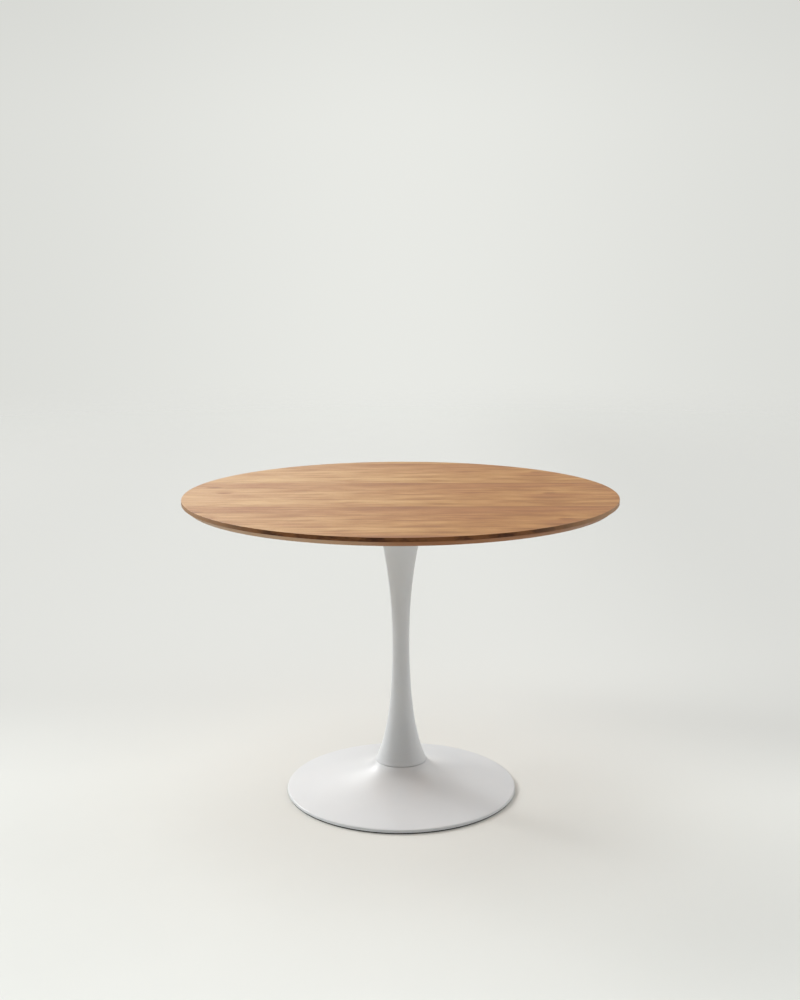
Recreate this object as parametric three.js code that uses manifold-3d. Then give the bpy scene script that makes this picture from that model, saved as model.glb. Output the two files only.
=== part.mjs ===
// Round pedestal table: a board with a bevelled underside on a trumpet column, which stands on a flared,
// ballasted base. Units are millimetres, +Z is up, and the origin is on the floor at the column's axis.
import * as THREE from "three";
import { mergeVertices } from "three/addons/utils/BufferGeometryUtils.js";
import Module from "manifold-3d";

const wasm = await Module();
wasm.setup();

// ---------------------------------------------------------------- driving dimensions

const TABLE_HEIGHT = 762;
const CONTACT = 0.3; // air between two pieces that touch
const OVERSHOOT = 5; // how far a cutting tool runs past the piece that it cuts

const BOARD = { radius: 533.5, thickness: 21, edge: 9.5, bevelInset: 15, arris: 0.8 };

const COLUMN = { footRadius: 64.5, headRadius: 71, waistRadius: 21.5, waistHeight: 388, wall: 3.5 };
const COLUMN_BEND = { lowerHeight: 168, upperHeight: 583 }; // where the end tangents meet the waist's

const BASE = { radius: 290, neckRadius: 65.5, neckHeight: 76, neckBore: 22, wall: 3 };
const LIP = { height: 7, round: 3.5, slope: 0.1 }; // slope is the flare's fall over its run at the lip
const FLARE_BEND = { neckRun: 10.5, neckFall: 9.5, rimRun: 200 }; // how far its end tangents pull the flare

const FLOOR_RING = { outer: 288.5, inner: 279, foot: 3, ribOuter: 286.5, ribInner: 281.5, height: 6.8 };

const PLATE = { radius: 165, thickness: 5, bore: 20, chamfer: 1 };
const FLANGE = { thickness: 8, bore: 22 };
const CLAMP = { radius: 58, thickness: 6 };
const BALLAST = { inner: 88, outer: 212, underside: 9, gapToShell: 4, recessRadius: 12, recessDepth: 9 };

// Each set of fasteners stands on a circle of its own radius.
const TOP_SCREWS = { count: 8, circle: 140, length: 16 };
const HEAD_BOLTS = { count: 4, circle: 44, length: 18 };
const FOOT_BOLTS = { count: 4, circle: 38, length: 25 };
const BALLAST_STUDS = { count: 4, circle: 140, bottom: 8.6 };

const INSERT = { outer: 5, bore: 3.35, length: 12.5, holeRadius: 5.35, holeDepth: 13.5 };
const PAN_HEAD = { shank: 3, clearance: 3.4, head: 6.2, crown: 4, height: 3.3, across: 4, socketDepth: 2 };
const SUNK_HEAD = { head: 8, height: 4.2, across: 5, socketDepth: 2.5 };
const M8 = { shank: 4, clearance: 4.5, across: 13, headHeight: 5.3, nutHeight: 6.5 };
const WASHER = { inner: 4.4, outer: 8, thickness: 1.6 };

// Segments of a full turn.
const BOARD_SEGMENTS = 96;
const BASE_SEGMENTS = 60;
const COLUMN_SEGMENTS = 40;
const FASTENER_SEGMENTS = 12;

// Steps along the curved outlines.
const COLUMN_STEPS = 6; // on each side of the waist
const FLARE_STEPS = 8;
const LIP_STEPS = 2;

// ---------------------------------------------------------------- heights that follow from them

const boardUnderside = TABLE_HEIGHT - BOARD.thickness;
const plateTop = boardUnderside - CONTACT;
const plateUnderside = plateTop - PLATE.thickness;
const columnTop = plateUnderside - CONTACT;
const columnFoot = BASE.neckHeight + CONTACT;
const neckUnderside = BASE.neckHeight - BASE.wall;
const clampUnderside = neckUnderside - CONTACT - CLAMP.thickness;
const footWasherUnderside = clampUnderside - CONTACT - WASHER.thickness;
const lipBottom = FLOOR_RING.foot + CONTACT;
const lipTop = lipBottom + LIP.height;
const ballastWasherUnderside = BALLAST.underside + BALLAST.recessDepth - CONTACT - WASHER.thickness;
const ballastNutUnderside = ballastWasherUnderside - CONTACT - M8.nutHeight;

// ---------------------------------------------------------------- materials

const finish = (color, roughness, metalness) =>
  new THREE.MeshStandardMaterial({ color, roughness, metalness });
const oak = finish(0xc89e74, 0.5, 0);
const whitePaint = finish(0xe9e9e8, 0.4, 0);
const zincSteel = finish(0xb4b6b8, 0.35, 0.9);
const brass = finish(0xb8914d, 0.35, 0.9);
const castIron = finish(0x3d3e40, 0.7, 0.6);
const blackRubber = finish(0x1c1c1c, 0.8, 0);

// ---------------------------------------------------------------- shape helpers

const point = (radius, height) => new THREE.Vector2(radius, height);

// Turns an outline of (radius, height) points about the Z axis. The outline's last point joins its first.
function revolve(outline, segments) {
  const isAnticlockwise = THREE.ShapeUtils.area(outline) > 0;
  const turned = isAnticlockwise ? [...outline] : [...outline].reverse();
  turned.push(turned[0].clone());
  return new THREE.LatheGeometry(turned, segments).rotateX(Math.PI / 2);
}

const tube = (inner, outer, bottom, top, segments) =>
  revolve([point(inner, bottom), point(outer, bottom), point(outer, top), point(inner, top)], segments);

// An upright cylinder, or a cone where topRadius differs.
function rod(radius, bottom, top, topRadius = radius, sides = FASTENER_SEGMENTS) {
  return new THREE.CylinderGeometry(topRadius, radius, top - bottom, sides)
    .rotateX(Math.PI / 2)
    .translate(0, 0, (top + bottom) / 2);
}

// An upright hexagonal prism, measured across its flats.
function hexagon(across, bottom, top) {
  const cornerRadius = across / Math.sqrt(3);
  return rod(cornerRadius, bottom, top, cornerRadius, 6);
}

// Points along a curve, moved sideways by distance: to the curve's left where it is positive.
function offsetPoints(curve, distance, steps) {
  return Array.from({ length: steps + 1 }, (_, i) => {
    const at = curve.getPoint(i / steps);
    const along = curve.getTangent(i / steps);
    return point(at.x - along.y * distance, at.y + along.x * distance);
  });
}

function solidOf(geometry) {
  const bare = geometry.clone().deleteAttribute("normal").deleteAttribute("uv");
  const merged = mergeVertices(bare);
  return new wasm.Manifold(
    new wasm.Mesh({
      numProp: 3,
      vertProperties: merged.attributes.position.array,
      triVerts: new Uint32Array(merged.index.array),
    }),
  );
}

function geometryOf(solid) {
  const mesh = solid.getMesh();
  const geometry = new THREE.BufferGeometry();
  geometry.setAttribute("position", new THREE.BufferAttribute(mesh.vertProperties, 3));
  geometry.setIndex(new THREE.BufferAttribute(mesh.triVerts, 1));
  geometry.computeVertexNormals();
  return geometry;
}

const join = (one, other) => geometryOf(solidOf(one).add(solidOf(other)));
const overlap = (one, other) => geometryOf(solidOf(one).intersect(solidOf(other)));
const cut = (geometry, ...tools) =>
  geometryOf(tools.map(solidOf).reduce((rest, tool) => rest.subtract(tool), solidOf(geometry)));

// ---------------------------------------------------------------- where the fasteners stand

// Places on a circle, the first one offCentre of a step away from +X.
function placesOnCircle({ count, circle }, offCentre) {
  return Array.from({ length: count }, (_, i) => {
    const angle = ((i + offCentre) / count) * 2 * Math.PI;
    return { x: circle * Math.cos(angle), y: circle * Math.sin(angle) };
  });
}

const topScrewPlaces = placesOnCircle(TOP_SCREWS, 0.5);
const headBoltPlaces = placesOnCircle(HEAD_BOLTS, 0.5);
const footBoltPlaces = placesOnCircle(FOOT_BOLTS, 0.5);
const studPlaces = placesOnCircle(BALLAST_STUDS, 0);

const atEach = (places, makeTool) => places.map(({ x, y }) => makeTool().translate(x, y, 0));

// ---------------------------------------------------------------- curves of the column and the base

// The column's outside, from foot to head: two parabolas that meet upright at the waist.
function columnCurve() {
  const { footRadius, headRadius, waistRadius, waistHeight } = COLUMN;
  const waist = point(waistRadius, waistHeight);
  const lowerBend = point(waistRadius, COLUMN_BEND.lowerHeight);
  const upperBend = point(waistRadius, COLUMN_BEND.upperHeight);
  const curve = new THREE.CurvePath();
  curve.add(new THREE.QuadraticBezierCurve(point(footRadius, columnFoot), lowerBend, waist));
  curve.add(new THREE.QuadraticBezierCurve(waist, upperBend, point(headRadius, columnTop)));
  return curve;
}

// The lip's round, from the flare down to the upright rim.
const lipTurn = Math.PI / 2 - Math.atan(LIP.slope);
const lipCentre = point(BASE.radius - LIP.round, lipTop - LIP.round);
const lipCurve = new THREE.EllipseCurve(lipCentre.x, lipCentre.y, LIP.round, LIP.round, lipTurn, 0, true);

// The base's outside, from neck to lip: steep at the neck, nearly level at the lip.
function flareCurve() {
  const neck = point(BASE.neckRadius, BASE.neckHeight);
  const rim = lipCurve.getPoint(0);
  const neckBend = point(neck.x + FLARE_BEND.neckRun, neck.y - FLARE_BEND.neckFall);
  const rimBend = point(rim.x - FLARE_BEND.rimRun, rim.y + FLARE_BEND.rimRun * LIP.slope);
  return new THREE.CubicBezierCurve(neck, neckBend, rimBend, rim);
}

// The room inside the column, no closer to its wall than gap and open past both ends.
function roomInColumn(gap) {
  const wall = offsetPoints(columnCurve(), COLUMN.wall + gap, 2 * COLUMN_STEPS);
  const outline = [
    point(0, columnFoot - OVERSHOOT),
    point(wall[0].x, columnFoot - OVERSHOOT),
    ...wall,
    point(wall[wall.length - 1].x, columnTop + OVERSHOOT),
    point(0, columnTop + OVERSHOOT),
  ];
  return revolve(outline, COLUMN_SEGMENTS);
}

// The room under the base's shell, no closer to it than gap and open past the floor.
function roomUnderShell(gap) {
  const rimRadius = BASE.radius - BASE.wall - gap;
  const ceiling = offsetPoints(flareCurve(), -BASE.wall - gap, FLARE_STEPS).map(({ x, y }) =>
    point(Math.min(x, rimRadius), Math.min(y, neckUnderside - gap)),
  );
  const outline = [
    point(0, ceiling[0].y),
    ...ceiling,
    point(rimRadius, -OVERSHOOT),
    point(0, -OVERSHOOT),
  ];
  return revolve(outline, BASE_SEGMENTS);
}

// ---------------------------------------------------------------- the top

// The board, its underside at height 0, with blind holes for the inserts.
function boardGeometry() {
  const { radius, thickness, edge, bevelInset, arris } = BOARD;
  const outline = [
    point(0, 0),
    point(radius - bevelInset, 0),
    point(radius, thickness - edge),
    point(radius, thickness - arris),
    point(radius - arris, thickness),
    point(0, thickness),
  ];
  const insertHole = () => rod(INSERT.holeRadius, -OVERSHOOT, INSERT.holeDepth);
  return cut(revolve(outline, BOARD_SEGMENTS), ...atEach(topScrewPlaces, insertHole));
}

const insertGeometry = () => tube(INSERT.bore, INSERT.outer, 0, INSERT.length, FASTENER_SEGMENTS);

// The plate between column and board, with holes for the screws and countersunk ones for the bolts.
function supportPlateGeometry() {
  const { radius, thickness, bore, chamfer } = PLATE;
  const outline = [
    point(bore, 0),
    point(radius - chamfer, 0),
    point(radius, chamfer),
    point(radius, thickness - chamfer),
    point(radius - chamfer, thickness),
    point(bore, thickness),
  ];
  const screwHole = () => rod(PAN_HEAD.clearance, -OVERSHOOT, thickness + OVERSHOOT);
  const boltHole = () => rod(M8.clearance, -OVERSHOOT, thickness + OVERSHOOT);
  const sinkBottom = thickness - CONTACT - SUNK_HEAD.height;
  const sinkHole = () => rod(M8.clearance, sinkBottom, thickness + CONTACT, SUNK_HEAD.head + 2 * CONTACT);
  return cut(
    revolve(outline, BASE_SEGMENTS),
    ...atEach(topScrewPlaces, screwHole),
    ...atEach(headBoltPlaces, boltHole),
    ...atEach(headBoltPlaces, sinkHole),
  );
}

// A pan-head screw that hangs head down from height 0, with a hexagonal socket.
function topScrewGeometry() {
  const { shank, head, crown, height, across, socketDepth } = PAN_HEAD;
  const domed = [
    point(0, 0),
    point(head, 0),
    point(head, -height / 3),
    point(crown, -height),
    point(0, -height),
  ];
  const whole = join(revolve(domed, FASTENER_SEGMENTS), rod(shank, -height / 2, TOP_SCREWS.length));
  return cut(whole, hexagon(across, -height - OVERSHOOT, -height + socketDepth));
}

// A countersunk bolt with a hexagonal socket, its head's flat face at height 0.
function headBoltGeometry() {
  const { head, height, across, socketDepth } = SUNK_HEAD;
  const whole = join(rod(M8.shank, -height, 0, head), rod(M8.shank, -HEAD_BOLTS.length, -height / 2));
  return cut(whole, hexagon(across, -socketDepth, OVERSHOOT));
}

// ---------------------------------------------------------------- the column

function columnGeometry() {
  const outside = columnCurve().getPoints(COLUMN_STEPS);
  const outline = [point(0, columnFoot), ...outside, point(0, columnTop)];
  return cut(revolve(outline, COLUMN_SEGMENTS), roomInColumn(0));
}

// A ring welded inside one end of the column, drilled for the bolts that hold that end.
function columnFlangeGeometry(bottom, boltPlaces) {
  const top = bottom + FLANGE.thickness;
  const ring = tube(FLANGE.bore, COLUMN.headRadius, bottom, top, COLUMN_SEGMENTS);
  const boltHole = () => rod(M8.shank + CONTACT, bottom - OVERSHOOT, top + OVERSHOOT);
  return cut(overlap(ring, roomInColumn(CONTACT)), ...atEach(boltPlaces, boltHole));
}

// ---------------------------------------------------------------- the base

// The flared shell, with a level neck that has a bore and four bolt holes, and a lip at the rim.
function baseShellGeometry() {
  const outline = [
    point(0, BASE.neckHeight),
    ...flareCurve().getPoints(FLARE_STEPS),
    ...lipCurve.getPoints(LIP_STEPS).slice(1),
    point(BASE.radius, lipBottom),
    point(0, lipBottom),
  ];
  const neckBore = rod(BASE.neckBore, 0, BASE.neckHeight + OVERSHOOT, BASE.neckBore, COLUMN_SEGMENTS);
  const boltHole = () => rod(M8.clearance, 0, BASE.neckHeight + OVERSHOOT);
  return cut(
    revolve(outline, BASE_SEGMENTS),
    roomUnderShell(0),
    neckBore,
    ...atEach(footBoltPlaces, boltHole),
  );
}

// The disc under the neck that closes its bore and spreads the pull of the foot bolts.
function clampPlateGeometry() {
  const { radius, thickness } = CLAMP;
  const disc = rod(radius, 0, thickness, radius, COLUMN_SEGMENTS);
  const boltHole = () => rod(M8.clearance, -OVERSHOOT, thickness + OVERSHOOT);
  return cut(disc, ...atEach(footBoltPlaces, boltHole));
}

// A hexagon bolt that hangs head down from height 0.
const footBoltGeometry = () =>
  join(hexagon(M8.across, -M8.headHeight, 0), rod(M8.shank, -M8.headHeight / 2, FOOT_BOLTS.length));

const washerGeometry = () => tube(WASHER.inner, WASHER.outer, 0, WASHER.thickness, FASTENER_SEGMENTS);

const nutGeometry = () =>
  cut(hexagon(M8.across, 0, M8.nutHeight), rod(M8.shank + CONTACT, -OVERSHOOT, M8.nutHeight + OVERSHOOT));

// A cast ring that follows the shell above it, with a recess below each stud for its nut and washer.
function ballastGeometry() {
  const { inner, outer, underside, gapToShell, recessRadius, recessDepth } = BALLAST;
  const ring = tube(inner, outer, underside, BASE.neckHeight, BASE_SEGMENTS);
  const studHole = () => rod(M8.clearance, underside - OVERSHOOT, BASE.neckHeight);
  const recess = () => rod(recessRadius, underside - OVERSHOOT, underside + recessDepth);
  return cut(
    overlap(ring, roomUnderShell(gapToShell)),
    ...atEach(studPlaces, studHole),
    ...atEach(studPlaces, recess),
  );
}

// A threaded stud at its own place, its welded end cut to the slope of the shell above it.
function ballastStudGeometry({ x, y }) {
  const long = rod(M8.shank, BALLAST_STUDS.bottom, BASE.neckHeight).translate(x, y, 0);
  return overlap(long, roomUnderShell(CONTACT));
}

// A soft ring with a foot under the lip and a rib that grips inside it.
function floorRingGeometry() {
  const { outer, inner, foot, ribOuter, ribInner, height } = FLOOR_RING;
  const outline = [
    point(inner, 0),
    point(outer, 0),
    point(outer, foot),
    point(ribOuter, foot),
    point(ribOuter, height),
    point(ribInner, height),
    point(ribInner, foot),
    point(inner, foot),
  ];
  return revolve(outline, BASE_SEGMENTS);
}

// ---------------------------------------------------------------- assembly

function piece(name, geometry, material, height = 0, { x, y } = { x: 0, y: 0 }) {
  const mesh = new THREE.Mesh(geometry, material);
  mesh.name = name;
  mesh.position.set(x, y, height);
  return mesh;
}

// One mesh at each place, named name_1, name_2 and so on.
const pieces = (name, places, geometry, material, height) =>
  places.map((place, i) => piece(`${name}_${i + 1}`, geometry, material, height, place));

const top = [
  piece("table_top", boardGeometry(), oak, boardUnderside),
  ...pieces("threaded_insert", topScrewPlaces, insertGeometry(), brass, boardUnderside),
  piece("support_plate", supportPlateGeometry(), whitePaint, plateUnderside),
  ...pieces("top_screw", topScrewPlaces, topScrewGeometry(), zincSteel, plateUnderside - CONTACT),
  ...pieces("head_bolt", headBoltPlaces, headBoltGeometry(), zincSteel, plateTop - CONTACT),
];

const headFlange = columnFlangeGeometry(columnTop - FLANGE.thickness, headBoltPlaces);
const footFlange = columnFlangeGeometry(columnFoot, footBoltPlaces);
const column = [
  piece("column_shell", columnGeometry(), whitePaint),
  piece("column_head_flange", headFlange, zincSteel),
  piece("column_foot_flange", footFlange, zincSteel),
];

const base = [
  piece("base_shell", baseShellGeometry(), whitePaint),
  piece("neck_clamp_plate", clampPlateGeometry(), zincSteel, clampUnderside),
  ...pieces("foot_washer", footBoltPlaces, washerGeometry(), zincSteel, footWasherUnderside),
  ...pieces("foot_bolt", footBoltPlaces, footBoltGeometry(), zincSteel, footWasherUnderside - CONTACT),
  piece("ballast_ring", ballastGeometry(), castIron),
  ...studPlaces.map((place, i) => piece(`ballast_stud_${i + 1}`, ballastStudGeometry(place), zincSteel)),
  ...pieces("ballast_washer", studPlaces, washerGeometry(), zincSteel, ballastWasherUnderside),
  ...pieces("ballast_nut", studPlaces, nutGeometry(), zincSteel, ballastNutUnderside),
  piece("floor_ring", floorRingGeometry(), blackRubber),
];

const table = new THREE.Group();
for (const meshes of [top, column, base]) {
  const group = new THREE.Group();
  group.add(...meshes);
  table.add(group);
}

export default table;
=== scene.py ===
"""Round pedestal table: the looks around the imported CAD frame.

Metres, +Z up, with the origin on the floor at the column's axis.
"""
import math

import bmesh
import bpy
from mathutils import Matrix, Vector


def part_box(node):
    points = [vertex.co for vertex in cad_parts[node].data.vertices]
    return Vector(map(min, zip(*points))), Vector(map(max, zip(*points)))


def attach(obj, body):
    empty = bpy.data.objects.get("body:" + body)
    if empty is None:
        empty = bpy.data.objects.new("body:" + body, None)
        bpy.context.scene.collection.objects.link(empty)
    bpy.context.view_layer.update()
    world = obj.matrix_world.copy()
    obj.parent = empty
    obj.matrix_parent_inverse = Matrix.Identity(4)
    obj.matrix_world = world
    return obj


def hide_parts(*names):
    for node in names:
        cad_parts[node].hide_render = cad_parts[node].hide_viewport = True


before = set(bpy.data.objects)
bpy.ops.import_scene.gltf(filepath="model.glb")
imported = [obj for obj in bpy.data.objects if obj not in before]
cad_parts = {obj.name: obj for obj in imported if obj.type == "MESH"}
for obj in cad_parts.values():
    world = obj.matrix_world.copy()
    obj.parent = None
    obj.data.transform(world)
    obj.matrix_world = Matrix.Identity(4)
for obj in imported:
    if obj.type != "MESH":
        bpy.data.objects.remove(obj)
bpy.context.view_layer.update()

MM = 0.001
BODY = "root"

# ---------------------------------------------------------------- sizes

# Boxes that the frame gives. The sizes below them repeat the CAD's own.
board_low, board_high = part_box("table_top")
column_low, column_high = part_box("column_shell")
base_low, base_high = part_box("base_shell")
ring_low, ring_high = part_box("floor_ring")
plate_low, plate_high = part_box("support_plate")
ballast_low, ballast_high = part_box("ballast_ring")

BOARD_BEVEL_INSET = 15 * MM
BOARD_BAND = 9.5 * MM

COLUMN_WALL = 3.5 * MM
COLUMN_FOOT_RADIUS = 64.5 * MM
SEAM_DEPTH = 3 * MM
SEAM_HEIGHT = 1.5 * MM
SEAM_CHAMFER = 0.2 * MM
WAIST = Vector((21.5 * MM, 388 * MM))
LOWER_BEND_HEIGHT = 168 * MM
UPPER_BEND_HEIGHT = 583 * MM

BASE_WALL = 3 * MM
NECK_RADIUS = 65.5 * MM
NECK_BORE = 22 * MM
NECK_RUN = 10.5 * MM
NECK_FALL = 9.5 * MM
NECK_CHAMFER = 0.5 * MM
LIP_HEIGHT = 7 * MM
LIP_ROUND = 3.5 * MM
LIP_SLOPE = 0.1
RIM_RUN = 200 * MM

RING_INNER = 279 * MM
RING_FOOT = 3 * MM
RIB_OUTER = 286.5 * MM
RIB_INNER = 281.5 * MM

PLATE_BORE = 20 * MM
PLATE_CHAMFER = 1 * MM
SCREW_HOLE = 3.4 * MM
BOLT_HOLE = 4.5 * MM
SINK_RADIUS = 8.6 * MM
SINK_DEPTH = 4.5 * MM

TIP_LENGTH = 1 * MM
TIP_TAPER = 0.8 * MM

SCREW_SHANK = 3 * MM
SCREW_HEAD = 6.2 * MM
SCREW_CROWN = 4 * MM
SCREW_SOCKET_ACROSS = 4 * MM
SCREW_SOCKET_DEPTH = 2 * MM

M8_SHANK = 4 * MM
M8_ACROSS = 13 * MM
M8_HEAD_HEIGHT = 5.3 * MM
WASHER_BORE = 4.4 * MM

BALLAST_GAP = 4 * MM
BALLAST_INNER = 88 * MM
BALLAST_OUTER = 212 * MM
RECESS_RADIUS = 12 * MM
RECESS_DEPTH = 9 * MM

# ---------------------------------------------------------------- outlines, as (radius, height) points


def bezier(points, steps):
    """Points along a quadratic or cubic curve, both ends included."""
    made = []
    for i in range(steps + 1):
        t = i / steps
        layer = [Vector(p) for p in points]
        while len(layer) > 1:
            layer = [a.lerp(b, t) for a, b in zip(layer, layer[1:])]
        made.append(layer[0])
    return made


def beside(points, distance):
    """The same open run of points, moved to its left by distance."""
    made = []
    last = len(points) - 1
    for i, here in enumerate(points):
        along = (points[min(i + 1, last)] - points[max(i - 1, 0)]).normalized()
        made.append(here + distance * Vector((-along.y, along.x)))
    return made


def rounded(corners, steps=4):
    """An outline from (radius, height, rounding) corners. A round has a short straight run on each side."""
    made = []
    for i, (radius, height, rounding) in enumerate(corners):
        here = Vector((radius, height))
        if not rounding:
            made.append(here)
            continue
        back = (Vector(corners[i - 1][:2]) - here).normalized()
        ahead = (Vector(corners[(i + 1) % len(corners)][:2]) - here).normalized()
        half = back.angle(ahead) / 2
        reach = rounding / math.tan(half)
        centre = here + (back + ahead).normalized() * rounding / math.sin(half)
        start = here + back * reach
        end = here + ahead * reach
        made.append(start + back * rounding)
        for k in range(steps + 1):
            arm = (start - centre).slerp(end - centre, k / steps)
            made.append(centre + arm.normalized() * rounding)
        made.append(end + ahead * rounding)
    return made


# ---------------------------------------------------------------- mesh helpers

SHARP = math.radians(28)  # an edge that turns by more than this stays sharp


def fill(data, mesh):
    """Puts a bmesh into mesh data, smooth-shaded, with its steep edges kept sharp."""
    for face in mesh.faces:
        face.smooth = True
    for edge in mesh.edges:
        edge.smooth = edge.is_manifold and edge.calc_face_angle() < SHARP
    mesh.to_mesh(data)
    mesh.free()


def finished(name, mesh):
    """Turns a bmesh into an object, with doubled points merged and faces turned outwards."""
    bmesh.ops.remove_doubles(mesh, verts=mesh.verts, dist=1e-7)
    bmesh.ops.recalc_face_normals(mesh, faces=mesh.faces)
    data = bpy.data.meshes.new(name)
    fill(data, mesh)
    made = bpy.data.objects.new(name, data)
    bpy.context.scene.collection.objects.link(made)
    return made


def turned(name, outline, segments=256):
    """A closed solid: the outline turned about Z, with its last point joined to its first."""
    mesh = bmesh.new()
    angles = [2 * math.pi * i / segments for i in range(segments)]
    rings = []
    for radius, height in outline:
        if radius < 1e-6:
            rings.append([mesh.verts.new((0, 0, height))])
            continue
        rings.append([mesh.verts.new((radius * math.cos(a), radius * math.sin(a), height)) for a in angles])
    for ring, following in zip(rings, rings[1:] + rings[:1]):
        for i in range(segments):
            k = (i + 1) % segments
            near = [ring[i % len(ring)], ring[k % len(ring)]]
            far = [following[k % len(following)], following[i % len(following)]]
            corners = list(dict.fromkeys(near + far))
            if len(corners) > 2:
                mesh.faces.new(corners)
    return finished(name, mesh)


def rod(radius, low, high, centre=(0, 0), segments=48):
    """A tool for shaping other pieces: a cylinder or, with 6 segments, a hexagonal prism."""
    made = turned("tool", [(0, low), (radius, low), (radius, high), (0, high)], segments)
    made.location = (centre[0], centre[1], 0)
    return made


def hexagon(across, low, high):
    """A hexagonal prism with two of its corners along Y."""
    made = rod(across / math.sqrt(3), low, high, segments=6)
    made.rotation_euler = (0, 0, math.pi / 6)
    return made


def shaped(piece, operation, *tools):
    """The piece after DIFFERENCE, INTERSECT or UNION with each tool. The tools are used up."""
    for tool in tools:
        change = piece.modifiers.new("shape", "BOOLEAN")
        change.operation = operation
        change.object = tool
        change.solver = "MANIFOLD"
    bpy.context.view_layer.update()
    result = piece.evaluated_get(bpy.context.evaluated_depsgraph_get())
    mesh = bmesh.new()
    mesh.from_mesh(result.data)
    piece.modifiers.clear()
    fill(piece.data, mesh)
    for tool in tools:
        bpy.data.objects.remove(tool)
    return piece


def places(node_stem, count):
    """The centres (x, y) of the nodes node_stem_1 to node_stem_count."""
    made = []
    for i in range(1, count + 1):
        low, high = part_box(f"{node_stem}_{i}")
        made.append(((low.x + high.x) / 2, (low.y + high.y) / 2))
    return made


def repeated(piece, name, node_stem, count, material):
    """One copy of a piece, made at the axis, for each of the nodes node_stem_1 to node_stem_count."""
    piece.name = f"{name}_1"
    piece.data.materials.append(material)
    for i, (x, y) in enumerate(places(node_stem, count), start=1):
        copy = piece
        if i > 1:
            copy = bpy.data.objects.new(f"{name}_{i}", piece.data)
            bpy.context.scene.collection.objects.link(copy)
        copy.location = (x, y, 0)
        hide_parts(f"{node_stem}_{i}")
        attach(copy, BODY)


def keep(piece, slot_name, material, *nodes):
    """Gives a piece its material, hides the CAD nodes that it stands for and puts it on the body that it
    rides on.
    """
    piece.data.materials.append(material)
    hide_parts(*nodes)
    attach(piece, BODY)


# ---------------------------------------------------------------- material helpers


class Graph:
    """Adds nodes to a tree. Its methods take sockets or plain values, and return a socket."""

    def __init__(self, tree):
        self.tree = tree

    def feed(self, socket, value):
        if isinstance(value, bpy.types.NodeSocket):
            self.tree.links.new(value, socket)
        else:
            socket.default_value = value

    def node(self, kind, inputs=None, output=0, **settings):
        made = self.tree.nodes.new(kind)
        for key, value in settings.items():
            setattr(made, key, value)
        for socket, value in (inputs or {}).items():
            self.feed(made.inputs[socket], value)
        return made.outputs[output]

    def calc(self, operation, a, b=0.0, c=0.0):
        return self.node("ShaderNodeMath", {0: a, 1: b, 2: c}, operation=operation)

    def axis(self, vector, name):
        return self.node("ShaderNodeSeparateXYZ", {0: vector}, output=name)

    def vector(self, x, y, z=0.0):
        return self.node("ShaderNodeCombineXYZ", {0: x, 1: y, 2: z})

    def measure(self, operation, a, b=(0.0, 0.0, 0.0)):
        """A number from one or two vectors: a LENGTH, DISTANCE or DOT_PRODUCT."""
        return self.node("ShaderNodeVectorMath", {0: a, 1: b}, output="Value", operation=operation)

    def noise(self, vector, scale=1.0, detail=2.0, roughness=0.5):
        inputs = {"Vector": vector, "Scale": scale, "Detail": detail, "Roughness": roughness}
        return self.node("ShaderNodeTexNoise", inputs)

    def between(self, value, low, high, to_low=0.0, to_high=1.0):
        """value mapped smoothly from low..high to to_low..to_high, and held there outside."""
        inputs = {"Value": value, "From Min": low, "From Max": high, "To Min": to_low, "To Max": to_high}
        return self.node("ShaderNodeMapRange", inputs, interpolation_type="SMOOTHSTEP")

    def between_linear(self, value, low, high, to_low=0.0, to_high=1.0):
        """Like between, but in a straight line."""
        inputs = {"Value": value, "From Min": low, "From Max": high, "To Min": to_low, "To Max": to_high}
        return self.node("ShaderNodeMapRange", inputs)

    def mix(self, factor, a, b):
        """Colour a at factor 0 and b at 1. They are the Mix node's inputs 6 and 7."""
        inputs = {"Factor": factor, 6: a, 7: b}
        return self.node("ShaderNodeMix", inputs, output=2, data_type="RGBA")

    def ramp(self, value, stops):
        """A colour by value, blended between (value, colour) stops."""
        made = self.tree.nodes.new("ShaderNodeValToRGB")
        self.feed(made.inputs[0], self.between_linear(value, stops[0][0], stops[-1][0]))
        span = stops[-1][0] - stops[0][0]
        elements = made.color_ramp.elements
        while len(elements) < len(stops):
            elements.new(0.5)
        for element, (place, colour) in zip(elements, stops):
            element.position = (place - stops[0][0]) / span
            element.color = colour
        return made.outputs[0]

    def bump(self, height, distance, strength=1.0):
        return self.node("ShaderNodeBump", {"Height": height, "Distance": distance, "Strength": strength})


class Paint(Graph):
    """One material around a Principled shader."""

    def __init__(self, name, **surface):
        self.material = bpy.data.materials.new(name)
        self.material.use_nodes = True
        super().__init__(self.material.node_tree)
        self.shader = self.tree.nodes["Principled BSDF"]
        self.set(**surface)
        self.place = self.node("ShaderNodeTexCoord", output="Object")

    def set(self, **surface):
        for socket, value in surface.items():
            self.feed(self.shader.inputs[socket.replace("_", " ")], value)
        return self.material

    def stretched_noise(self, scales):
        """Noise over the piece, with its own scale along each axis."""
        place = self.node("ShaderNodeVectorMath", {0: self.place, 1: scales}, operation="MULTIPLY")
        return self.noise(place)


def tinted(value, tint):
    return (value * tint[0], value * tint[1], value * tint[2], 1.0)


# ---------------------------------------------------------------- materials

# The veneer's leaves: width, where the first one starts, and how dark and how warm each one is.
LEAF_WIDTH = 83.75 * MM
LEAF_START = -7.5 * MM
LEAF_DARKNESS = (0.02, 0.13, -0.07, 0.00)
LEAF_WARMTH = (0.35, 0.80, 0.0, 0.25)

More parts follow.
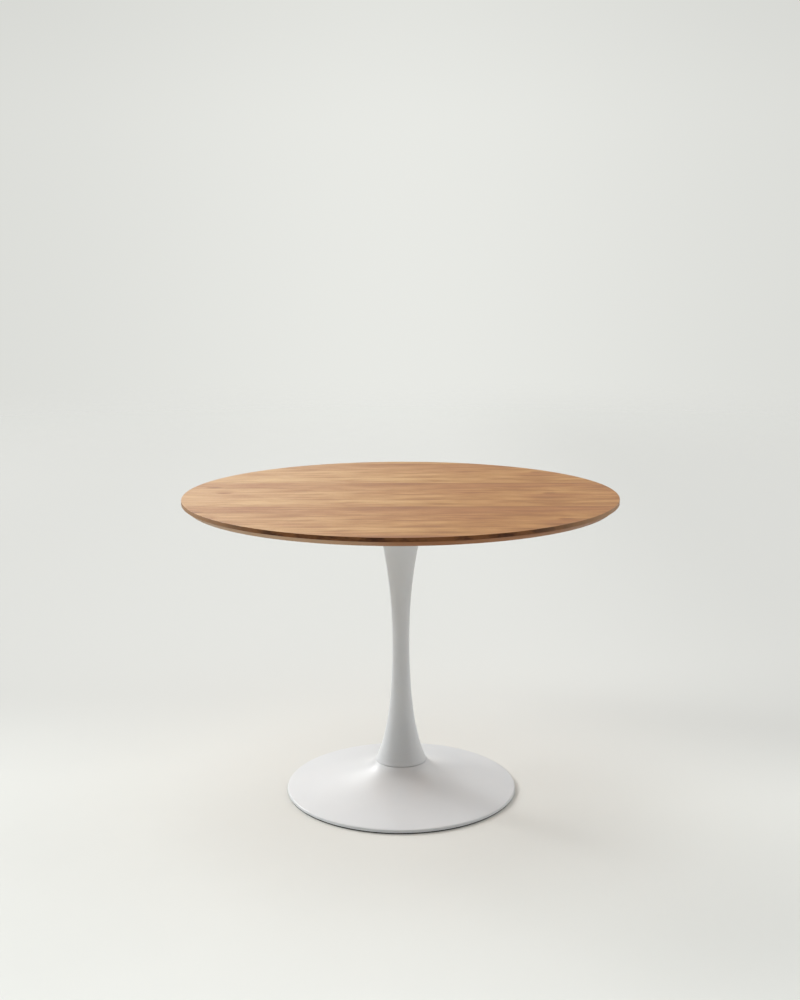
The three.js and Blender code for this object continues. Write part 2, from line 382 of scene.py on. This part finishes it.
# Albedo by darkness, from pale to dark wood.
WOOD_TONES = (
    (0.10, (0.700, 0.425, 0.165, 1.0)),
    (0.38, (0.590, 0.320, 0.108, 1.0)),
    (0.60, (0.468, 0.224, 0.060, 1.0)),
    (0.82, (0.370, 0.156, 0.034, 1.0)),
    (1.05, (0.260, 0.094, 0.016, 1.0)),
)
WARM_TONE = (0.460, 0.185, 0.064, 1.0)
PORE_TONE = (0.150, 0.070, 0.035, 1.0)

# The dark and middle tones of the edge's upright band and of the bevel below it, then for each a lighter
# tone that is painted light: on the band's left and right ends and on the bevel's left side.
BAND_TONES = ((0.075, 0.026, 0.009, 1.0), (0.205, 0.080, 0.027, 1.0), (0.365, 0.205, 0.105, 1.0))
BEVEL_TONES = ((0.245, 0.095, 0.032, 1.0), (0.315, 0.142, 0.058, 1.0), (0.430, 0.262, 0.150, 1.0))

WOOD_GLOSS = 0.4
EDGE_GLOSS = 0.15

# Darker figure: x, place across the set of leaves, half length and half width in mm, and darkness.
FIGURE = (
    (38, 140, 60, 34, 0.15),
    (250, 136, 80, 34, 0.13),
    (-300, 158, 190, 7, 0.16),
    (150, 160, 330, 7, 0.18),
    (-230, 88, 210, 8, 0.16),
    (190, 86, 110, 9, 0.16),
    (-434, 40, 26, 50, 0.16),
    (-472, 98, 22, 11, 0.65),
    (-435, 20, 20, 11, 0.44),
    (175, 14, 24, 9, 0.32),
    (366, 10, 18, 10, 0.40),
    (76, 12, 26, 8, 0.16),
    (-99, 6, 22, 6, 0.16),
    (60, 268, 60, 22, 0.10),
)


def wood():
    """Plain-sawn oak veneer: a set of four leaves, grained along X, which repeats across the board, with
    painted shade towards its right.
    """
    p = Paint("oak_veneer", Specular_IOR_Level=WOOD_GLOSS)
    x = p.axis(p.place, "X")
    y = p.axis(p.place, "Y")

    v = p.calc("FLOORED_MODULO", p.calc("SUBTRACT", y, LEAF_START), 4 * LEAF_WIDTH)
    in_leaves = p.calc("DIVIDE", v, LEAF_WIDTH)
    leaf = p.calc("FLOOR", in_leaves)
    across = p.calc("FRACT", in_leaves)
    leaf_seed = p.calc("MULTIPLY", leaf, 3.7)

    def grain(course, along, over, detail, seed=0.0):
        """Noise that runs along a course: along and over are its scales down the grain and across it."""
        along_grain = p.calc("MULTIPLY", x, along)
        over_grain = p.calc("MULTIPLY", course, over)
        place = p.vector(along_grain, over_grain, p.calc("ADD", leaf_seed, seed))
        return p.noise(place, 1.0, detail)

    def by_leaf(steps):
        """The step of the leaf at hand."""
        found = 0.0
        for i, step in enumerate(steps):
            is_leaf = p.calc("COMPARE", leaf, float(i), 0.5)
            found = p.calc("MULTIPLY_ADD", is_leaf, step, found)
        return found

    bend = p.calc("SUBTRACT", grain(v, 2.6, 9.0, 2.0), 0.5)
    loose = p.calc("MULTIPLY_ADD", bend, 0.09, v)
    tight = p.calc("MULTIPLY_ADD", bend, 0.018, v)
    broad = grain(loose, 3.0, 30.0, 3.0, 1.0)
    cloud = grain(loose, 9.0, 16.0, 2.0, 8.0)
    field = grain(loose, 1.5, 9.0, 1.0, 6.0)
    fleck = grain(tight, 7.0, 90.0, 3.0, 7.0)
    streak = grain(tight, 5.0, 170.0, 3.0, 2.0)
    line = grain(tight, 9.0, 420.0, 2.0, 3.0)
    fibre = grain(tight, 22.0, 1300.0, 2.0, 4.0)
    pore = grain(tight, 70.0, 2300.0, 1.0, 5.0)
    blush = grain(tight, 4.0, 26.0, 2.0, 9.0)
    ring = p.calc("SINE", p.calc("MULTIPLY", field, 150.0))

    dark = p.calc("ADD", by_leaf(LEAF_DARKNESS), 0.5)
    textures = ((broad, 0.7), (cloud, 0.8), (fleck, 0.7), (streak, 0.7), (line, 1.1), (fibre, 1.1))
    for texture, share in textures:
        dark = p.calc("MULTIPLY_ADD", p.calc("SUBTRACT", texture, 0.5), share, dark)
    dark = p.calc("MULTIPLY_ADD", ring, 0.03, dark)
    # Painted shade: the veneer is darker towards the right, away from the light. It is also made lighter
    # towards the back.
    dark = p.calc("ADD", dark, p.between_linear(x, -0.5, 0.5, -0.10, 0.31))
    dark = p.calc("ADD", dark, p.between_linear(y, -0.5, 0.5, 0.12, -0.12))
    ragged = p.calc("MULTIPLY", p.calc("SUBTRACT", streak, 0.5), 0.9)
    for spot_x, spot_v, long, wide, share in FIGURE:
        off_x = p.calc("DIVIDE", p.calc("SUBTRACT", x, spot_x * MM), long * MM)
        off_v = p.calc("DIVIDE", p.calc("SUBTRACT", tight, spot_v * MM), wide * MM)
        off = p.measure("LENGTH", p.vector(off_x, off_v))
        spot = p.between(p.calc("ADD", off, ragged), 1.25, 0.35, 0.0, share)
        dark = p.calc("ADD", dark, spot)

    warm = p.calc("ADD", by_leaf(LEAF_WARMTH), p.between(blush, 0.42, 0.68))
    pores = p.between(pore, 0.60, 0.72)
    joint = p.between(p.calc("ABSOLUTE", p.calc("SUBTRACT", across, 0.5)), 0.493, 0.499)
    tone = p.ramp(dark, WOOD_TONES)
    tone = p.mix(p.calc("MULTIPLY", warm, 0.25), tone, WARM_TONE)
    tone = p.mix(p.calc("MULTIPLY", pores, 0.40), tone, PORE_TONE)
    tone = p.mix(p.calc("MULTIPLY", joint, 0.15), tone, PORE_TONE)

    roughness = p.between(dark, 0.2, 0.9, 0.29, 0.38)
    relief = p.calc("SUBTRACT", p.calc("MULTIPLY", fibre, 0.35), pores)
    return p.set(Base_Color=tone, Roughness=roughness, Normal=p.bump(relief, 0.00015, 0.6))


def wood_edge():
    """The oak board's edge: a blotchy dark band above a paler bevel, with painted light on the band's ends
    and on the bevel's left.
    """
    p = Paint("oak_edge", Specular_IOR_Level=EDGE_GLOSS)
    x = p.axis(p.place, "X")
    depth = p.calc("SUBTRACT", board_high.z, p.axis(p.place, "Z"))
    blotch = p.stretched_noise((20.0, 20.0, 40.0))
    tick = p.stretched_noise((110.0, 110.0, 300.0))
    ply = p.stretched_noise((6.0, 6.0, 420.0))
    patch = p.calc("ADD", p.calc("MULTIPLY", blotch, 0.75), p.calc("MULTIPLY", tick, 0.25))
    band = p.mix(p.between(patch, 0.38, 0.62), BAND_TONES[0], BAND_TONES[1])
    # Painted light: the band is lighter towards its left and right ends.
    band = p.mix(p.between(p.calc("ABSOLUTE", x), 0.24, 0.50), band, BAND_TONES[2])
    bevel = p.mix(p.between(ply, 0.35, 0.65), BEVEL_TONES[0], BEVEL_TONES[1])
    # Painted sheen: the bevel is lighter towards the left.
    bevel = p.mix(p.between(x, 0.03, -0.18), bevel, BEVEL_TONES[2])
    return p.set(
        Base_Color=p.mix(p.between(depth, BOARD_BAND - 0.6 * MM, BOARD_BAND + 0.4 * MM), band, bevel),
        Roughness=p.between(blotch, 0.3, 0.7, 0.42, 0.52),
        Normal=p.bump(p.calc("ADD", tick, ply), 0.0001),
    )


def powder_coat():
    """White powder coat: an orange-peel skin with a little drift in tone and gloss."""
    p = Paint("white_powder_coat", Specular_IOR_Level=0.45)
    peel = p.noise(p.place, 1400.0, 2.0)
    drift = p.noise(p.place, 9.0, 3.0)
    tone = p.mix(p.between(drift, 0.3, 0.7), (0.697, 0.722, 0.746, 1.0), (0.716, 0.740, 0.762, 1.0))
    return p.set(
        Base_Color=tone,
        Roughness=p.between(drift, 0.3, 0.7, 0.285, 0.325),
        Normal=p.bump(peel, 0.00004, 0.5),
    )


def zinc_plate():
    """Bright zinc plating: fine brushed grain with cloudier patches."""
    p = Paint("zinc_steel", Metallic=1.0)
    cloud = p.noise(p.place, 60.0, 4.0)
    grain = p.stretched_noise((900.0, 900.0, 3500.0))
    roughness = p.calc("ADD", p.between(cloud, 0.3, 0.7, 0.26, 0.36), p.calc("MULTIPLY", grain, 0.06))
    return p.set(
        Base_Color=p.mix(p.between(cloud, 0.3, 0.7), (0.50, 0.51, 0.53, 1.0), (0.63, 0.63, 0.62, 1.0)),
        Roughness=roughness,
        Normal=p.bump(grain, 0.00002, 0.5),
    )


def brass():
    """Turned brass, a little tarnished in patches."""
    p = Paint("brass", Metallic=1.0)
    cloud = p.noise(p.place, 90.0, 4.0)
    return p.set(
        Base_Color=p.mix(p.between(cloud, 0.3, 0.7), (0.60, 0.41, 0.15, 1.0), (0.74, 0.53, 0.22, 1.0)),
        Roughness=p.between(cloud, 0.3, 0.7, 0.28, 0.4),
        Normal=p.bump(p.stretched_noise((200.0, 200.0, 6000.0)), 0.00002),
    )


def cast_iron():
    """Sand-cast iron under a dull dark primer."""
    p = Paint("cast_iron", Metallic=0.35)
    grit = p.noise(p.place, 700.0, 5.0, 0.65)
    lump = p.noise(p.place, 70.0, 3.0)
    tone = p.mix(p.between(lump, 0.3, 0.7), (0.050, 0.050, 0.052, 1.0), (0.088, 0.084, 0.080, 1.0))
    return p.set(
        Base_Color=p.mix(p.between(grit, 0.62, 0.75, 0.0, 0.6), tone, (0.150, 0.130, 0.112, 1.0)),
        Roughness=p.between(grit, 0.3, 0.7, 0.55, 0.8),
        Normal=p.bump(p.calc("MULTIPLY_ADD", grit, 0.4, lump), 0.0008, 0.8),
    )


def rubber():
    """Matt black rubber with a fine tooth."""
    p = Paint("black_rubber", Specular_IOR_Level=0.3, Roughness=0.75)
    grain = p.noise(p.place, 900.0, 3.0)
    tone = p.mix(p.between(grain, 0.4, 0.7), (0.020, 0.018, 0.014, 1.0), (0.035, 0.032, 0.027, 1.0))
    return p.set(Base_Color=tone, Normal=p.bump(grain, 0.00008))


# ---------------------------------------------------------------- pieces


def make_board(veneer, edge):
    radius = board_high.x
    underside = board_low.z
    top = board_high.z
    outline = rounded(
        [
            (0, underside, 0),
            (radius - BOARD_BEVEL_INSET, underside, 0.8 * MM),
            (radius, top - BOARD_BAND, 0.8 * MM),
            (radius, top, 0.7 * MM),
            (0, top, 0),
        ]
    )
    board = turned("board", outline, 384)
    keep(board, "oak_board", veneer, "table_top")
    board.data.materials.append(edge)
    # The edge's faces are those between the flat underside and the arris at the top.
    for face in board.data.polygons:
        if underside + 0.1 * MM < face.center.z < top - 0.3 * MM:
            face.material_index = 1


def make_column(material):
    foot = Vector((COLUMN_FOOT_RADIUS, column_low.z))
    head = Vector((column_high.x, column_high.z))
    lower = bezier([foot, (WAIST.x, LOWER_BEND_HEIGHT), WAIST], 40)
    upper = bezier([WAIST, (WAIST.x, UPPER_BEND_HEIGHT), head], 40)
    outside = lower + upper[1:]
    inside = beside(outside, COLUMN_WALL)
    # The foot steps in at its very end, which leaves the fine dark groove above the base.
    outside[0:1] = [
        foot + Vector((-SEAM_DEPTH, 0)),
        foot + Vector((-SEAM_DEPTH, SEAM_HEIGHT)),
        foot + Vector((-SEAM_CHAMFER, SEAM_HEIGHT)),
        foot + Vector((0, SEAM_HEIGHT + SEAM_CHAMFER)),
    ]
    inside[0].y = column_low.z
    inside[-1].y = column_high.z
    column = turned("column", outside + inside[::-1], 192)
    keep(column, "white_powder_coat", material, "column_shell")


def flare_and_lip():
    """The base's outside from the neck to the lip, and the lip's own round."""
    neck = Vector((NECK_RADIUS, base_high.z))
    centre = Vector((base_high.x - LIP_ROUND, base_low.z + LIP_HEIGHT - LIP_ROUND))
    first = math.pi / 2 - math.atan(LIP_SLOPE)
    turns = [first * (1 - i / 8) for i in range(9)]
    lip = [centre + LIP_ROUND * Vector((math.cos(a), math.sin(a))) for a in turns]
    bends = [
        (neck.x + NECK_RUN, neck.y - NECK_FALL),
        (lip[0].x - RIM_RUN, lip[0].y + RIM_RUN * LIP_SLOPE),
    ]
    return bezier([neck, *bends, lip[0]], 72), lip


def make_base(material):
    flare, lip = flare_and_lip()
    radius = base_high.x
    neck_top = base_high.z
    rim_inside = radius - BASE_WALL
    neck_underside = neck_top - BASE_WALL
    ceiling = [Vector((min(p.x, rim_inside), min(p.y, neck_underside))) for p in beside(flare, -BASE_WALL)]
    outline = [
        Vector((NECK_BORE, neck_top)),
        Vector((NECK_RADIUS - NECK_CHAMFER, neck_top)),
        *flare[1:],
        *lip[1:],
        Vector((radius, base_low.z)),
        Vector((rim_inside, base_low.z)),
        *ceiling[::-1],
        Vector((NECK_BORE, neck_underside)),
    ]
    keep(turned("base", outline, 320), "white_powder_coat", material, "base_shell")


def make_ballast(material):
    flare, _ = flare_and_lip()
    roof = [p for p in beside(flare, -BASE_WALL - BALLAST_GAP) if BALLAST_INNER < p.x < BALLAST_OUTER]
    underside, top = ballast_low.z, ballast_high.z
    sides = rounded(
        [
            (BALLAST_OUTER, roof[-1].y - 1 * MM, 0),
            (BALLAST_OUTER, underside, 2 * MM),
            (BALLAST_INNER, underside, 2 * MM),
            (BALLAST_INNER, top, 0),
        ]
    )
    ring = turned("ballast", roof + sides, 192)

    recess_top = underside + RECESS_DEPTH
    drill_outline = [
        (0, 0),
        (RECESS_RADIUS, 0),
        (RECESS_RADIUS, recess_top),
        (BOLT_HOLE, recess_top),
        (BOLT_HOLE, top + 5 * MM),
        (0, top + 5 * MM),
    ]
    tools = []
    for x, y in places("ballast_stud", 4):
        drill = turned("tool", drill_outline, 48)
        drill.location = (x, y, 0)
        # A slight turn keeps the drill's edges off the ring's own.
        drill.rotation_euler = (0, 0, 0.03)
        tools.append(drill)
    shaped(ring, "DIFFERENCE", *tools)
    keep(ring, "cast_iron", material, "ballast_ring")


def make_floor_ring(material):
    foot = ring_low.z + RING_FOOT
    outline = rounded(
        [
            (RING_INNER, ring_low.z, 0.6 * MM),
            (ring_high.x, ring_low.z, 0.6 * MM),
            (ring_high.x, foot, 0.5 * MM),
            (RIB_OUTER, foot, 0),
            (RIB_OUTER, ring_high.z, 0.5 * MM),
            (RIB_INNER, ring_high.z, 0.5 * MM),
            (RIB_INNER, foot, 0),
            (RING_INNER, foot, 0.5 * MM),
        ]
    )
    keep(turned("base_foot_ring", outline, 320), "black_rubber", material, "floor_ring")


def make_plate(material):
    low, high = plate_low.z, plate_high.z
    outline = rounded(
        [
            (PLATE_BORE, low, 0.4 * MM),
            (plate_high.x - PLATE_CHAMFER, low, 0.4 * MM),
            (plate_high.x, low + PLATE_CHAMFER, 0.4 * MM),
            (plate_high.x, high - PLATE_CHAMFER, 0.4 * MM),
            (plate_high.x - PLATE_CHAMFER, high, 0.4 * MM),
            (PLATE_BORE, high, 0.4 * MM),
        ]
    )
    plate = turned("plate", outline, 192)
    below, above = low - 1 * MM, high + 1 * MM
    sink = [
        (0, high - SINK_DEPTH),
        (BOLT_HOLE, high - SINK_DEPTH),
        (SINK_RADIUS, high),
        (SINK_RADIUS, above),
        (0, above),
    ]
    tools = [rod(SCREW_HOLE, below, above, centre) for centre in places("top_screw", 8)]
    for x, y in places("head_bolt", 4):
        tools.append(rod(BOLT_HOLE, below, above, (x, y)))
        cone = turned("tool", sink, 48)
        cone.location = (x, y, 0)
        tools.append(cone)
    shaped(plate, "DIFFERENCE", *tools)
    keep(plate, "white_powder_coat", material, "support_plate")


def make_top_screws(material):
    low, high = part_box("top_screw_1")
    seat = plate_low.z - 0.3 * MM
    rim = seat - 1.1 * MM
    dome = bezier([(SCREW_CROWN, low.z), (SCREW_HEAD - 0.3 * MM, low.z), (SCREW_HEAD, rim)], 8)
    outline = rounded(
        [
            (0, low.z, 0),
            *((p.x, p.y, 0) for p in dome),
            (SCREW_HEAD, seat, 0.2 * MM),
            (SCREW_SHANK, seat, 0),
            (SCREW_SHANK, high.z - TIP_LENGTH, 0),
            (SCREW_SHANK - TIP_TAPER, high.z, 0),
            (0, high.z, 0),
        ]
    )
    screw = turned("screw", outline, 48)
    socket = hexagon(SCREW_SOCKET_ACROSS, low.z - 1 * MM, low.z + SCREW_SOCKET_DEPTH)
    shaped(screw, "DIFFERENCE", socket)
    repeated(screw, "screw", "top_screw", 8, material)


def hex_blank(name, low, high, chamfer_low, chamfer_high):
    """A hexagonal head or nut whose corners are turned off at the chosen ends."""
    corner = M8_ACROSS / math.sqrt(3) + 0.05 * MM
    face = M8_ACROSS / 2 - 0.3 * MM
    drop = 0.75 * MM
    bottom = [(face, low), (corner, low + drop)] if chamfer_low else [(corner, low)]
    top = [(corner, high - drop), (face, high)] if chamfer_high else [(corner, high)]
    blank = turned(name, [(0, low), *bottom, *top, (0, high)], 96)
    return shaped(blank, "INTERSECT", hexagon(M8_ACROSS, low - 1 * MM, high + 1 * MM))


def make_neck_bolts(material):
    low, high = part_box("foot_bolt_1")
    bolt = hex_blank("foot_bolt", low.z, low.z + M8_HEAD_HEIGHT, True, False)
    shank_outline = [
        (0, low.z + 1 * MM),
        (M8_SHANK, low.z + 1 * MM),
        (M8_SHANK, high.z - TIP_LENGTH),
        (M8_SHANK - TIP_TAPER, high.z),
        (0, high.z),
    ]
    shaped(bolt, "UNION", turned("tool", shank_outline, 48))
    repeated(bolt, "neck_bolt", "foot_bolt", 4, material)


def make_washers(name, node_stem, material):
    low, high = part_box(f"{node_stem}_1")
    outer = (high.x - low.x) / 2
    corners = [(WASHER_BORE, low.z), (outer, low.z), (outer, high.z), (WASHER_BORE, high.z)]
    washer = turned(name, rounded([(r, z, 0.25 * MM) for r, z in corners]), 64)
    repeated(washer, name, node_stem, 4, material)


def make_stud_nuts(material):
    low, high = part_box("ballast_nut_1")
    nut = hex_blank("nut", low.z, high.z, True, True)
    shaped(nut, "DIFFERENCE", rod(M8_SHANK + 0.3 * MM, low.z - 1 * MM, high.z + 1 * MM))
    repeated(nut, "stud_nut", "ballast_nut", 4, material)


def dress(material, *nodes):
    """Gives carried-over CAD nodes a material."""
    for name in nodes:
        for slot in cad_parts[name].material_slots:
            slot.link = "OBJECT"
            slot.material = material


white = powder_coat()
zinc = zinc_plate()
make_board(wood(), wood_edge())
make_column(white)
make_base(white)
make_plate(white)
make_floor_ring(rubber())
make_ballast(cast_iron())
make_top_screws(zinc)
make_neck_bolts(zinc)
make_washers("neck_washer", "foot_washer", zinc)
make_washers("stud_washer", "ballast_washer", zinc)
make_stud_nuts(zinc)
dress(zinc, "column_head_flange", "column_foot_flange", "neck_clamp_plate")
dress(zinc, *(f"head_bolt_{i}" for i in range(1, 5)), *(f"ballast_stud_{i}" for i in range(1, 5)))
dress(brass(), *(f"threaded_insert_{i}" for i in range(1, 9)))

# ---------------------------------------------------------------- studio

LIGHT_TONE = (1.0, 1.0, 0.985, 1.0)

# Soft panels by their half width. Each has a turn clockwise from straight behind the table, a height above
# the floor and a strength. All angles are in degrees.
SOFT_PANELS = {
    46: ((45, 45, 0.65), (90, 45, 0.3), (135, 45, 0.3), (90, 12, 0.7)),
    22: (
        (-100, 34, 3.5),
        (-55, 34, 4.3),
        (-35, 34, 2.5),
        (-15, 34, 1.3),
        (45, 34, 1.1),
        (-75, 12, 0.5),
        (-55, 12, 0.6),
        (-15, 12, 0.75),
        (20, 12, 0.4),
        (-135, 60, 0.6),
        (-110, 60, 1.0),
        (-20, 60, 0.7),
    ),
    12: ((-60, 50, 0.6),),
    8: ((-53, 30, 13.0),),
}
PANEL_CORE = 0.18  # how much of the half width is fully lit

# A weak, wide sun almost overhead: its turn, height, spread and strength.
TOP_SUN = (-45, 82, 30, 0.12)

FLOOR_RADIUS = 30.0
NEAR_TINT = (0.983, 1.0, 0.970)
FAR_TINT = (0.993, 1.0, 0.972)
BACKDROP = 0.81
BACKDROP_TINT = (1.0, 1.01, 0.965, 1.0)

CAMERA_PLACE = (-0.0011, -3.2039, 1.3179)
CAMERA_LENS = 47.53
CAMERA_TIP = 10.122
CAMERA_ROLL = -0.16


def make_floor():
    """A round pale floor with painted shade, darker towards the back, which fades out far away."""
    mesh = bmesh.new()
    bmesh.ops.create_circle(mesh, cap_ends=True, radius=FLOOR_RADIUS, segments=128)
    floor = finished("floor", mesh)

    p = Paint("studio_floor", Specular_IOR_Level=0.1, Roughness=0.9)
    x = p.axis(p.place, "X")
    mottle = p.between(p.noise(p.place, 3.0, 3.0), 0.3, 0.7)
    near = p.mix(mottle, tinted(0.765, NEAR_TINT), tinted(0.775, NEAR_TINT))
    # Painted shade in place of the light's falloff: near the table the floor is darker to the left; further
    # back it is darker still, most of all to the right.
    near = p.mix(p.between(x, -0.2, 0.9), near, tinted(0.805, NEAR_TINT))
    far = p.mix(p.between(x, 0.2, 1.6), tinted(0.652, FAR_TINT), tinted(0.590, FAR_TINT))
    far = p.mix(p.between(x, -0.4, -2.0), far, tinted(0.622, FAR_TINT))
    to_the_right = p.calc("MAXIMUM", p.calc("SUBTRACT", x, 0.3), 0.0)
    backwards = p.calc("MULTIPLY_ADD", to_the_right, 0.35, p.axis(p.place, "Y"))
    tone = p.mix(p.between(backwards, -0.1, 0.8), near, far)
    p.set(Base_Color=tone)

    clear = p.node("ShaderNodeBsdfTransparent")
    fade = p.between(p.measure("LENGTH", p.place), 5.0, 12.0)
    shown = p.node("ShaderNodeMixShader", {0: fade, 1: p.shader.outputs[0], 2: clear})
    p.tree.links.new(shown, p.tree.nodes["Material Output"].inputs["Surface"])
    floor.data.materials.append(p.material)


def direction(turn, height):
    """Degrees clockwise from straight behind the table, and degrees above the floor, as a vector."""
    turn = math.radians(turn)
    height = math.radians(height)
    return (math.sin(turn) * math.cos(height), math.cos(turn) * math.cos(height), math.sin(height))


def make_world():
    """Light from soft panels around the table, and a pale backdrop that only the camera sees."""
    world = bpy.data.worlds.new("studio")
    world.use_nodes = True
    g = Graph(world.node_tree)
    place = g.node("ShaderNodeTexCoord", output="Generated")

    strength = 0.0
    for half_width, panels in SOFT_PANELS.items():
        edge = math.cos(math.radians(half_width))
        core = math.cos(math.radians(PANEL_CORE * half_width))
        for turn, height, share in panels:
            facing = g.measure("DOT_PRODUCT", place, direction(turn, height))
            strength = g.calc("ADD", strength, g.between(facing, edge, core, 0.0, share))
    lit = g.node("ShaderNodeBackground", {"Color": LIGHT_TONE, "Strength": strength})

    sideways = g.calc("ABSOLUTE", g.axis(place, "X"))
    shade = g.between(sideways, 0.0, 0.33, BACKDROP, BACKDROP * 0.89)
    shade = g.calc("MULTIPLY", shade, g.between(g.axis(place, "Z"), 0.09, 0.21, 1.0, 0.94))
    backdrop = g.node("ShaderNodeBackground", {"Color": BACKDROP_TINT, "Strength": shade})

    seen_directly = g.node("ShaderNodeLightPath", output="Is Camera Ray")
    both = g.node("ShaderNodeMixShader", {0: seen_directly, 1: lit, 2: backdrop})
    g.tree.links.new(both, g.tree.nodes["World Output"].inputs["Surface"])
    bpy.context.scene.world = world


def make_sun():
    turn, height, spread, strength = TOP_SUN
    data = bpy.data.lights.new("top_sun", "SUN")
    data.energy = strength * math.pi
    data.angle = math.radians(spread)
    data.color = LIGHT_TONE[:3]
    sun = bpy.data.objects.new("top_sun", data)
    sun.rotation_euler = Vector(direction(turn, height)).to_track_quat("Z", "Y").to_euler()
    bpy.context.scene.collection.objects.link(sun)


def make_camera():
    """A camera in front of the table, tipped down and rolled a little."""
    data = bpy.data.cameras.new("camera")
    data.sensor_width = 36.0
    data.lens = CAMERA_LENS
    camera = bpy.data.objects.new("camera", data)
    pitch = Matrix.Rotation(math.radians(90.0 - CAMERA_TIP), 3, "X")
    roll = Matrix.Rotation(math.radians(CAMERA_ROLL), 3, "Z")
    camera.location = CAMERA_PLACE
    camera.rotation_euler = (pitch @ roll).to_euler()
    bpy.context.scene.collection.objects.link(camera)
    bpy.context.scene.camera = camera


make_floor()
make_world()
make_sun()
make_camera()
bpy.context.scene.view_settings.view_transform = "Standard"
